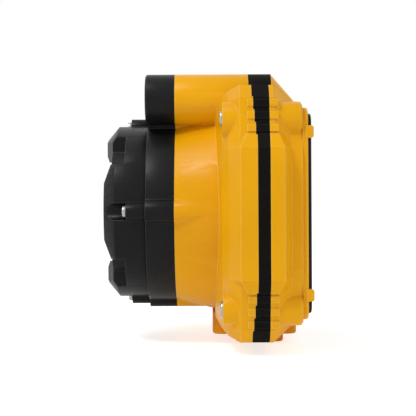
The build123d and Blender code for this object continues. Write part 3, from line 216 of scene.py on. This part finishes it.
# Plastics, rubbers and prints, with how far their roughness varies
moulded_looks = {
    "yellow_shell": {
        "colors": (yellow_deep, yellow), "worn_highlight": yellow_worn_highlight, "roughness": 0.30, "spread": 0.04,
        "specular": satin, "grain": plastic_grain, "depth": fine_relief, "edge": body_edge,
    },
    "yellow_metal": {
        "colors": (yellow_deep, yellow), "worn_highlight": yellow_worn_highlight, "roughness": 0.32, "spread": 0.04,
        "specular": satin, "grain": plastic_grain, "depth": paint_relief, "edge": body_edge,
    },
    # Painted shade: the base's colours are darker than the shells' for its recess under the body
    "yellow_base": {
        "colors": (shaded_base_yellow_deep, shaded_base_yellow), "worn_highlight": shaded_base_worn_highlight, "roughness": 0.46, "spread": 0.06,
        "specular": satin, "grain": texture_grain, "depth": base_relief, "edge": body_edge,
    },
    "black_shell": {
        "colors": (black, black_pale), "worn_highlight": black_worn_highlight, "roughness": 0.34, "spread": 0.08,
        "specular": matt, "grain": texture_grain, "depth": coarse_relief, "edge": body_edge,
    },
    "black_trim": {
        "colors": (trim_black, trim_black_pale), "worn_highlight": black_worn_highlight, "roughness": 0.38, "spread": 0.08,
        "specular": matt, "grain": texture_grain, "depth": medium_relief, "edge": body_edge,
    },
    "gasket_rubber": {
        "colors": (rubber_black, rubber_black_pale), "worn_highlight": rubber_worn_highlight, "roughness": 0.60, "spread": 0.08,
        "specular": dull, "grain": rubber_grain, "depth": coarse_relief, "edge": body_edge,
    },
    "key_rubber": {
        "colors": (key_grey, key_grey_pale), "roughness": 0.55, "spread": 0.08,
        "specular": matt, "grain": rubber_grain, "depth": medium_relief, "edge": button_edge,
    },
    "button_red": {
        "colors": (button_red_deep, button_red), "roughness": 0.34, "spread": 0.04,
        "specular": satin, "grain": plastic_grain, "depth": fine_relief, "edge": button_edge,
    },
    "button_grey": {
        "colors": (button_grey_deep, button_grey), "roughness": 0.34, "spread": 0.06,
        "specular": plain, "grain": plastic_grain, "depth": fine_relief, "edge": button_edge,
    },
    "battery": {
        "colors": (battery_blue_deep, battery_blue), "roughness": 0.36, "spread": 0.06,
        "specular": plain, "grain": plastic_grain, "depth": fine_relief, "edge": button_edge,
    },
    "white_ink": {
        "colors": (print_white_dull, print_white), "roughness": 0.45, "spread": 0.06,
        "specular": plain, "grain": plastic_grain, "depth": faint_relief,
    },
    "black_ink": {
        "colors": (inner_black, inner_black_pale), "roughness": 0.60, "spread": 0.06,
        "specular": flat, "grain": plastic_grain, "depth": faint_relief,
    },
    "phosphor": {
        "colors": (phosphor_deep, phosphor), "roughness": 0.60, "spread": 0.06,
        "specular": plain, "grain": plastic_grain, "depth": soft_relief,
    },
}

# Metals, with how many times finer their marks are along X, Y and Z
metal_looks = {
    "screw_steel": {
        "colors": (steel_dark, steel), "roughness": 0.26, "spread": 0.06,
        "marks": (1, 6, 1), "depth": medium_relief, "edge": metal_edge,
    },
    "bar_steel": {
        "colors": (steel_dark, steel), "roughness": 0.18, "spread": 0.06,
        "marks": (0.2, 1, 1), "depth": soft_relief,
    },
    "brass": {
        "colors": (brass_dark, brass), "roughness": 0.30, "spread": 0.06,
        "marks": (1, 1, 6), "depth": medium_relief, "edge": metal_edge,
    },
    "reflector": {
        "colors": (mirror_dark, mirror), "roughness": 0.08, "spread": 0.03,
        "marks": (1, 1, 1), "depth": soft_relief,
    },
    "chassis_steel": {
        "colors": (steel_dark, steel), "roughness": 0.36, "spread": 0.06,
        "marks": (0.1, 1, 3), "depth": medium_relief,
    },
    "aluminium": {
        "colors": (aluminium_dark, aluminium), "roughness": 0.34, "spread": 0.06,
        "marks": (0.3, 1, 3), "depth": medium_relief,
    },
}

# Glasses, with the thickness of their coating in nanometres
glass_looks = {
    "port_glass": {"tint": window_tint, "ior": 1.49, "specular": 0.15, "film": 0},
    "lens_glass": {"tint": lens_tint, "ior": 1.38, "specular": plain, "film": 330},
}
film_ior = 1.38
wiped_share = 0.96

# Circuit board
trace_range = (0.42, 0.50)
board_roughness = (0.35, 0.50)
board_coat = 0.3
board_coat_roughness = 0.2

# Face of the display
cell_roughness = (0.60, 0.66)

# Black inside of the lens port
inner_roughness = 0.70
inner_specular = 0.05
ring_scale = 62.5


# Shader helpers

def add(tree, kind, values=None, **settings):
    """A new node with its settings and the values of its sockets."""
    node = tree.nodes.new(kind)
    for key, value in settings.items():
        setattr(node, key, value)
    for key, value in (values or {}).items():
        node.inputs[key].default_value = value
    return node


def shader(name, values):
    """A new material, its node tree and its main shader, with the values of that shader's sockets."""
    material = bpy.data.materials.new(name)
    material.use_nodes = True
    tree = material.node_tree
    main = tree.nodes["Principled BSDF"]
    for key, value in values.items():
        main.inputs[key].default_value = value
    return material, tree, main


def noise(tree, size, detail, fineness=(1, 1, 1)):
    """Noise of a size in metres in the object's own coordinates, divided by the fineness along X, Y and Z."""
    place = add(tree, "ShaderNodeTexCoord")
    scale = add(tree, "ShaderNodeMapping", {"Scale": fineness})
    texture = add(tree, "ShaderNodeTexNoise", {
        "Scale": 1 / size, "Detail": detail, "Roughness": noise_roughness,
    })
    tree.links.new(place.outputs["Object"], scale.inputs["Vector"])
    tree.links.new(scale.outputs["Vector"], texture.inputs["Vector"])
    return texture.outputs["Fac"]


def ramp(tree, factor, low, high, start=noise_low, end=noise_high):
    """A value that runs from low to high as the factor runs from start to end."""
    node = add(tree, "ShaderNodeMapRange", {
        "From Min": start, "From Max": end, "To Min": low, "To Max": high,
    })
    tree.links.new(factor, node.inputs["Value"])
    return node.outputs["Result"]


def blend_colors(tree, factor, first, second, start=noise_low, end=noise_high):
    """A colour that runs from the first to the second as the factor runs from start to end."""
    node = add(tree, "ShaderNodeValToRGB")
    node.color_ramp.elements[0].position = start
    node.color_ramp.elements[1].position = end
    node.color_ramp.elements[0].color = (*first, 1)
    node.color_ramp.elements[1].color = (*second, 1)
    tree.links.new(factor, node.inputs["Fac"])
    return node.outputs["Color"]


def soft_normal(tree, radius):
    """The surface's normal, turned smoothly across edges within a radius."""
    return add(tree, "ShaderNodeBevel", {"Radius": radius}, samples=bevel_samples).outputs["Normal"]


def relief(tree, main, height, depth, edge=0.0):
    """Bump of a depth in metres, over edges that are softened by a radius."""
    bump = add(tree, "ShaderNodeBump", {"Strength": 1.0, "Distance": depth})
    tree.links.new(height, bump.inputs["Height"])
    if edge:
        tree.links.new(soft_normal(tree, edge), bump.inputs["Normal"])
    tree.links.new(bump.outputs["Normal"], main.inputs["Normal"])


def worn_and_highlit_edges(tree, color, worn_highlight, radius):
    """The colour, with a paler one on the edges: partly wear from handling, partly a painted highlight where
    the edges would catch the light.
    """
    surface = add(tree, "ShaderNodeNewGeometry")
    match = add(tree, "ShaderNodeVectorMath", operation="DOT_PRODUCT")
    tree.links.new(soft_normal(tree, radius), match.inputs[0])
    tree.links.new(surface.outputs["Normal"], match.inputs[1])
    share = ramp(tree, match.outputs["Value"], 1, 0, wear_highlight_full, wear_highlight_start)
    both = add(tree, "ShaderNodeMixRGB", {"Color2": (*worn_highlight, 1)})
    tree.links.new(share, both.inputs["Fac"])
    tree.links.new(color, both.inputs["Color1"])
    return both.outputs["Color"]


def moulded(name, colors, roughness, spread, specular, grain, depth, edge=0.0, worn_highlight=None):
    """Moulded plastic, rubber or a print: soft clouds in its colour, grain in its surface."""
    material, tree, main = shader(name, {"Specular IOR Level": specular})
    cloud = noise(tree, cloud_size, cloud_detail)
    fine = noise(tree, grain, grain_detail)
    color = blend_colors(tree, cloud, *colors)
    # Paler edges, partly wear and partly a painted highlight
    if worn_highlight:
        color = worn_and_highlit_edges(tree, color, worn_highlight, edge)
    tree.links.new(color, main.inputs["Base Color"])
    tree.links.new(ramp(tree, fine, roughness - spread, roughness + spread), main.inputs["Roughness"])
    relief(tree, main, fine, depth, edge)
    return material


def metal(name, colors, roughness, spread, marks, depth, edge=0.0):
    """Metal with fine marks that lie along its working direction."""
    material, tree, main = shader(name, {"Metallic": 1.0})
    lines = noise(tree, metal_grain, grain_detail, marks)
    tree.links.new(blend_colors(tree, lines, *colors), main.inputs["Base Color"])
    tree.links.new(ramp(tree, lines, roughness - spread, roughness + spread), main.inputs["Roughness"])
    relief(tree, main, lines, depth, edge)
    return material


def glass(name, tint, ior, specular, film):
    """Clear glass with faint wipe marks, and a coating if its film has a thickness."""
    material, tree, main = shader(name, {
        "Transmission Weight": 1.0, "Roughness": 0.0, "IOR": ior, "Specular IOR Level": specular,
        "Thin Film Thickness": film, "Thin Film IOR": film_ior,
    })
    marks = noise(tree, wipe_size, wipe_detail)
    wiped = tuple(value * wiped_share for value in tint)
    tree.links.new(blend_colors(tree, marks, wiped, tint), main.inputs["Base Color"])
    return material


# Finishes, one for each material slot and each print

def board_finish():
    """Solder mask over a maze of traces."""
    material, tree, main = shader("solder_mask", {
        "Coat Weight": board_coat, "Coat Roughness": board_coat_roughness,
    })
    place = add(tree, "ShaderNodeTexCoord")
    cells = add(tree, "ShaderNodeTexVoronoi", {"Scale": 1 / trace_pitch}, distance="MANHATTAN", feature="F2")
    tree.links.new(place.outputs["Object"], cells.inputs["Vector"])
    lines = cells.outputs["Distance"]
    color = blend_colors(tree, lines, trace_green, mask_green, *trace_range)
    tree.links.new(color, main.inputs["Base Color"])
    tree.links.new(ramp(tree, lines, *board_roughness), main.inputs["Roughness"])
    relief(tree, main, lines, coarse_relief)
    return material


def display_finish():
    """The dark smooth face of the display, switched off."""
    material, tree, main = shader("display_face", {"Specular IOR Level": flat})
    cloud = noise(tree, cell_cloud_size, cloud_detail)
    tree.links.new(blend_colors(tree, cloud, cell_dark, cell_light), main.inputs["Base Color"])
    tree.links.new(ramp(tree, cloud, *cell_roughness), main.inputs["Roughness"])
    return material


def turned_finish():
    """Matt black with shallow turned rings, about 5 mm apart, round the lens axis."""
    material, tree, main = shader("black_inner", {
        "Roughness": inner_roughness, "Specular IOR Level": inner_specular,
    })
    low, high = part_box("port_glass")
    place = add(tree, "ShaderNodeTexCoord")
    shift = add(tree, "ShaderNodeMapping", {"Location": (0, 0, -(low.z + high.z) / 2)})
    rings = add(tree, "ShaderNodeTexWave", {"Scale": ring_scale}, wave_type="RINGS", rings_direction="Y")
    tree.links.new(place.outputs["Object"], shift.inputs["Vector"])
    tree.links.new(shift.outputs["Vector"], rings.inputs["Vector"])
    lines = rings.outputs["Fac"]
    color = blend_colors(tree, lines, inner_black, inner_black_pale, 0, 1)
    tree.links.new(color, main.inputs["Base Color"])
    relief(tree, main, lines, coarse_relief)
    return material


def finishes():
    """Every finish under the name of its slot or print."""
    made = {name: moulded(name, **look) for name, look in moulded_looks.items()}
    made.update({name: metal(name, **look) for name, look in metal_looks.items()})
    made.update({name: glass(name, **look) for name, look in glass_looks.items()})
    made.update({"board": board_finish(), "display": display_finish(), "black_inner": turned_finish()})
    return made


# Model parts

def round_edges(obj):
    """Welds a part's mesh, joins its flat faces and rounds its sharp edges."""
    weld = obj.modifiers.new("weld", "WELD")
    weld.merge_threshold = weld_distance
    join = obj.modifiers.new("flat", "DECIMATE")
    join.decimate_type = "DISSOLVE"
    join.angle_limit = math.radians(flat_angle)
    edges = obj.modifiers.new("edges", "BEVEL")
    edges.width = edge_width
    edges.segments = edge_segments
    edges.limit_method = "ANGLE"
    edges.angle_limit = math.radians(edge_angle)
    edges.use_clamp_overlap = True


def dress_parts(frame, finish):
    """Gives every part of the model the finish of its own slot, and rounded edges."""
    for row in frame["record"]["subparts"]:
        obj = frame["nodes"][row["node"]]
        for place in obj.material_slots:
            place.material = finish[row["material_slot"]]
    for obj in frame["nodes"].values():
        round_edges(obj)


# Pieces of the scene's own

def piece(name, points, faces, material, body, smooth=False):
    """A mesh piece that rides on a body of the model."""
    mesh = bpy.data.meshes.new(name)
    mesh.from_pydata(points, [], faces)
    mesh.materials.append(material)
    for face in mesh.polygons:
        face.use_smooth = smooth
    obj = bpy.data.objects.new(name, mesh)
    bpy.context.scene.collection.objects.link(obj)
    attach(obj, body)
    return obj


def slabs(name, outlines, front, rear, material, body):
    """Thin plates between two depths, from outlines given as lists of X and Z."""
    points = []
    faces = []
    for outline in outlines:
        count = len(outline)
        first = len(points)
        points += [(x, front, z) for x, z in outline] + [(x, rear, z) for x, z in outline]
        faces.append([first + i for i in reversed(range(count))])
        faces.append([first + count + i for i in range(count)])
        for i in range(count):
            j = (i + 1) % count
            faces.append([first + i, first + j, first + count + j, first + count + i])
    piece(name, points, faces, material, body)


def middle(node):
    """The X and Z of the middle of a node's box."""
    low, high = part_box(node)
    return (low.x + high.x) / 2, (low.z + high.z) / 2


def bar(half_x, half_z, x=0.0, z=0.0):
    """The outline of a rectangle, from its half sizes and its middle."""
    return [
        (x - half_x, z - half_z), (x + half_x, z - half_z),
        (x + half_x, z + half_z), (x - half_x, z + half_z),
    ]


def turn(outline, angle):
    """An outline turned about its origin by an angle in degrees."""
    c = math.cos(math.radians(angle))
    s = math.sin(math.radians(angle))
    return [(x * c - z * s, x * s + z * c) for x, z in outline]


def band(inner, outer, steps):
    """A flat ring as a run of small plates."""
    plates = []
    for i in range(steps):
        corners = []
        for radius, j in ((inner, i), (outer, i), (outer, i + 1), (inner, i + 1)):
            angle = 2 * math.pi * j / steps
            corners.append((radius * math.cos(angle), radius * math.sin(angle)))
        plates.append(corners)
    return plates


def key_mark(node, outlines, ink, dx=0.0, ending="mark"):
    """Printed shapes on the outer face of a key, on the key's own body."""
    x0, z0 = middle(node)
    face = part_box(node)[1].y
    moved = [[(x0 + dx + x, z0 + z) for x, z in outline] for outline in outlines]
    slabs(f"{node}_{ending}", moved, face - print_depth, face + print_depth, ink, node)


def zoom_marks(ink):
    """A plus and a minus at the two ends of the zoom rocker."""
    long, thin = zoom_mark_half
    arm = (long - thin) / 2
    plus = [bar(long, thin), bar(thin, arm, 0, thin + arm), bar(thin, arm, 0, -thin - arm)]
    key_mark("zoom_rocker", plus, ink, -zoom_mark_place)
    key_mark("zoom_rocker", [bar(long, thin)], ink, zoom_mark_place, "second_mark")


def key_marks(ink):
    """The plain symbols on the keys and on the zoom rocker."""
    key_mark("play_key", [play_mark], ink)
    heights = [(i - (menu_bar_count - 1) / 2) * menu_bar_pitch for i in range(menu_bar_count)]
    key_mark("menu_key", [bar(*menu_bar_half, 0, z) for z in heights], ink)
    key_mark("centre_key", band(ring_mark_inner_r, ring_mark_outer_r, circle_steps), ink)
    for node, angle in chevron_angles.items():
        key_mark(node, [turn(chevron_mark, angle)], ink)
    zoom_marks(ink)


def display_border(ink):
    """The black border printed on the back of the display's glass."""
    low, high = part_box("display_glass")
    x0, z0 = middle("display_glass")
    outer_x = (high.x - low.x) / 2 - border_margin
    outer_z = (high.z - low.z) / 2 - border_margin
    outer = bar(outer_x, outer_z, x0, z0)
    inner = bar(outer_x - border_width, outer_z - border_width, x0, z0)
    sides = [[outer[i - 1], outer[i], inner[i], inner[i - 1]] for i in range(4)]
    slabs("display_border", sides, low.y + print_depth, low.y + 2 * print_depth, ink, "camera_body")


def socket_thread(material):
    """The screw thread in the tripod socket, as one helical ridge."""
    low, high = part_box("tripod_insert")
    rise = high.z - low.z - 2 * thread_margin
    count = int(thread_steps * rise / thread_pitch)
    section = [
        (thread_root_r, -thread_root_half), (thread_crest_r, -thread_crest_half),
        (thread_crest_r, thread_crest_half), (thread_root_r, thread_root_half),
    ]
    sides = len(section)
    points = []
    for i in range(count + 1):
        angle = 2 * math.pi * i / thread_steps
        lift = low.z + thread_margin + thread_pitch * i / thread_steps
        points += [(r * math.cos(angle), r * math.sin(angle), lift + dz) for r, dz in section]
    faces = [list(range(sides)), [sides * count + j for j in reversed(range(sides))]]
    for i in range(count):
        a = sides * i
        b = a + sides
        for j in range(sides):
            k = (j + 1) % sides
            faces.append([a + j, b + j, b + k, a + k])
    piece("socket_thread", points, faces, material, "camera_body")


def coil_points(x0, y0, bottom, coil_r, rise, count):
    """Points of a wire that climbs in turns round an upright line, ring after ring."""
    points = []
    for i in range(count + 1):
        angle = 2 * math.pi * i / spring_steps
        lift = bottom + spring_wire_r + rise * i / count
        for j in range(wire_sides):
            lean = 2 * math.pi * j / wire_sides
            radius = coil_r + spring_wire_r * math.cos(lean)
            points.append((
                x0 + radius * math.cos(angle), y0 + radius * math.sin(angle),
                lift + spring_wire_r * math.sin(lean),
            ))
    return points


def wire_faces(count):
    """Faces between the rings of a wire, and one at each end."""
    faces = [list(range(wire_sides)), [wire_sides * count + j for j in reversed(range(wire_sides))]]
    for i in range(count):
        a = wire_sides * i
        b = a + wire_sides
        for j in range(wire_sides):
            k = (j + 1) % wire_sides
            faces.append([a + k, a + j, b + j, b + k])
    return faces


def button_spring(node, material):
    """The coil spring under a top button, at its rest length; it does not shorten as the button is pressed.
    """
    low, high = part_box(node)
    x0 = (low.x + high.x) / 2
    y0 = (low.y + high.y) / 2
    coil_r = (high.x - low.x) / 2 - spring_wire_r
    rise = high.z - low.z - 2 * spring_wire_r
    count = spring_turns * spring_steps
    points = coil_points(x0, y0, low.z, coil_r, rise, count)
    coil = piece(
        f"{node}_coil", points, wire_faces(count), material, "camera_body", smooth=True)
    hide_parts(node)
    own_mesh(coil)


def lamp_phosphor(material):
    """The yellow dome on the lamp's light chip."""
    x0, z0 = middle("lamp_board")
    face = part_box("lamp_board")[0].y
    points = [(x0, face - phosphor_height, z0)]
    faces = []
    for i in range(1, phosphor_rings + 1):
        lean = math.pi / 2 * i / phosphor_rings
        radius = phosphor_r * math.sin(lean)
        for j in range(circle_steps):
            angle = 2 * math.pi * j / circle_steps
            points.append((
                x0 + radius * math.cos(angle), face - phosphor_height * math.cos(lean),
                z0 + radius * math.sin(angle),
            ))
    for j in range(circle_steps):
        k = (j + 1) % circle_steps
        faces.append([0, 1 + j, 1 + k])
        for i in range(phosphor_rings - 1):
            a = 1 + i * circle_steps
            b = a + circle_steps
            faces.append([a + j, b + j, b + k, a + k])
    piece("lamp_phosphor", points, faces, material, "camera_body", smooth=True)


# Stage

def lamp(name, place, size, power):
    """A soft square lamp, turned to the lamps' common point."""
    data = bpy.data.lights.new(name, "AREA")
    data.size = size
    data.energy = power
    obj = bpy.data.objects.new(name, data)
    obj.location = place
    direction = Vector(lamp_aim) - obj.location
    obj.rotation_euler = direction.to_track_quat("-Z", "Y").to_euler()
    bpy.context.scene.collection.objects.link(obj)


def ray_mask(tree):
    """One for what the eye, a reflection or a view through glass sees, and zero for light."""
    rays = add(tree, "ShaderNodeLightPath")
    first = add(tree, "ShaderNodeMath", operation="MAXIMUM")
    second = add(tree, "ShaderNodeMath", operation="MAXIMUM")
    tree.links.new(rays.outputs["Is Camera Ray"], first.inputs[0])
    tree.links.new(rays.outputs["Is Glossy Ray"], first.inputs[1])
    tree.links.new(first.outputs[0], second.inputs[0])
    tree.links.new(rays.outputs["Is Transmission Ray"], second.inputs[1])
    return second.outputs[0]


def make_world():
    """White to the eye, and a plain even light on the object."""
    world = bpy.data.worlds.new("studio")
    bpy.context.scene.world = world
    world.use_nodes = True
    tree = world.node_tree
    back = tree.nodes["Background"]
    back.inputs["Color"].default_value = white
    strength = add(tree, "ShaderNodeMapRange", {"To Min": ambient, "To Max": 1.0})
    tree.links.new(ray_mask(tree), strength.inputs["Value"])
    tree.links.new(strength.outputs["Result"], back.inputs["Strength"])


def floor_finish():
    """A pale matt surface with a glow, which is stronger for the camera than for other rays."""
    material = bpy.data.materials.new("floor")
    material.use_nodes = True
    tree = material.node_tree
    tree.nodes.remove(tree.nodes["Principled BSDF"])
    surface = add(tree, "ShaderNodeBsdfDiffuse", {"Color": floor_color})
    glow = add(tree, "ShaderNodeEmission", {"Color": white})
    rays = add(tree, "ShaderNodeLightPath")
    strength = add(tree, "ShaderNodeMapRange", {"To Min": floor_bounce, "To Max": floor_glow})
    both = add(tree, "ShaderNodeAddShader")
    tree.links.new(rays.outputs["Is Camera Ray"], strength.inputs["Value"])
    tree.links.new(strength.outputs["Result"], glow.inputs["Strength"])
    tree.links.new(surface.outputs[0], both.inputs[0])
    tree.links.new(glow.outputs[0], both.inputs[1])
    tree.links.new(both.outputs[0], tree.nodes["Material Output"].inputs["Surface"])
    return material


def make_floor(level):
    """A square floor under the object that takes its shadow."""
    half = floor_size / 2
    mesh = bpy.data.meshes.new("floor")
    mesh.from_pydata(
        [(-half, -half, level), (half, -half, level), (half, half, level), (-half, half, level)],
        [], [(0, 1, 2, 3)],
    )
    mesh.materials.append(floor_finish())
    floor = bpy.data.objects.new("floor", mesh)
    bpy.context.scene.collection.objects.link(floor)


def make_camera():
    """The photograph's view: level, along -X, square on to the object's left side."""
    data = bpy.data.cameras.new("camera")
    data.sensor_width = sensor_width
    data.lens = sensor_width * camera_distance * pixels_per_metre / image_pixels
    data.clip_start = camera_clip
    obj = bpy.data.objects.new("camera", data)
    obj.location = (camera_distance, camera_y, camera_z)
    obj.rotation_euler = (math.radians(90), math.radians(camera_roll), math.radians(90))
    bpy.context.scene.collection.objects.link(obj)
    bpy.context.scene.camera = obj


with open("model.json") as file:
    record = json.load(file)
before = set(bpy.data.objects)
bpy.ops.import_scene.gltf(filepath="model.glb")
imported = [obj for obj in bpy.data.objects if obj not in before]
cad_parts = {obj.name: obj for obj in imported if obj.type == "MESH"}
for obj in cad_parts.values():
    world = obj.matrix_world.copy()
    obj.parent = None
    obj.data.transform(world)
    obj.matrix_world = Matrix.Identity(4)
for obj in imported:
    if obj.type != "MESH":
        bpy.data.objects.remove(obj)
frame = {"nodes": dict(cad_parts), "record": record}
cad_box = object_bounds()
finish = finishes()
dress_parts(frame, finish)

key_marks(finish["white_ink"])
display_border(finish["black_ink"])
socket_thread(finish["brass"])
lamp_phosphor(finish["phosphor"])
for node, joint in spring_joints.items():
    button_spring(node, finish["bar_steel"])

make_camera()
make_world()
make_floor(cad_box[0].z)
for name, values in lamps.items():
    lamp(name, **values)
bpy.context.scene.view_settings.view_transform = "Standard"
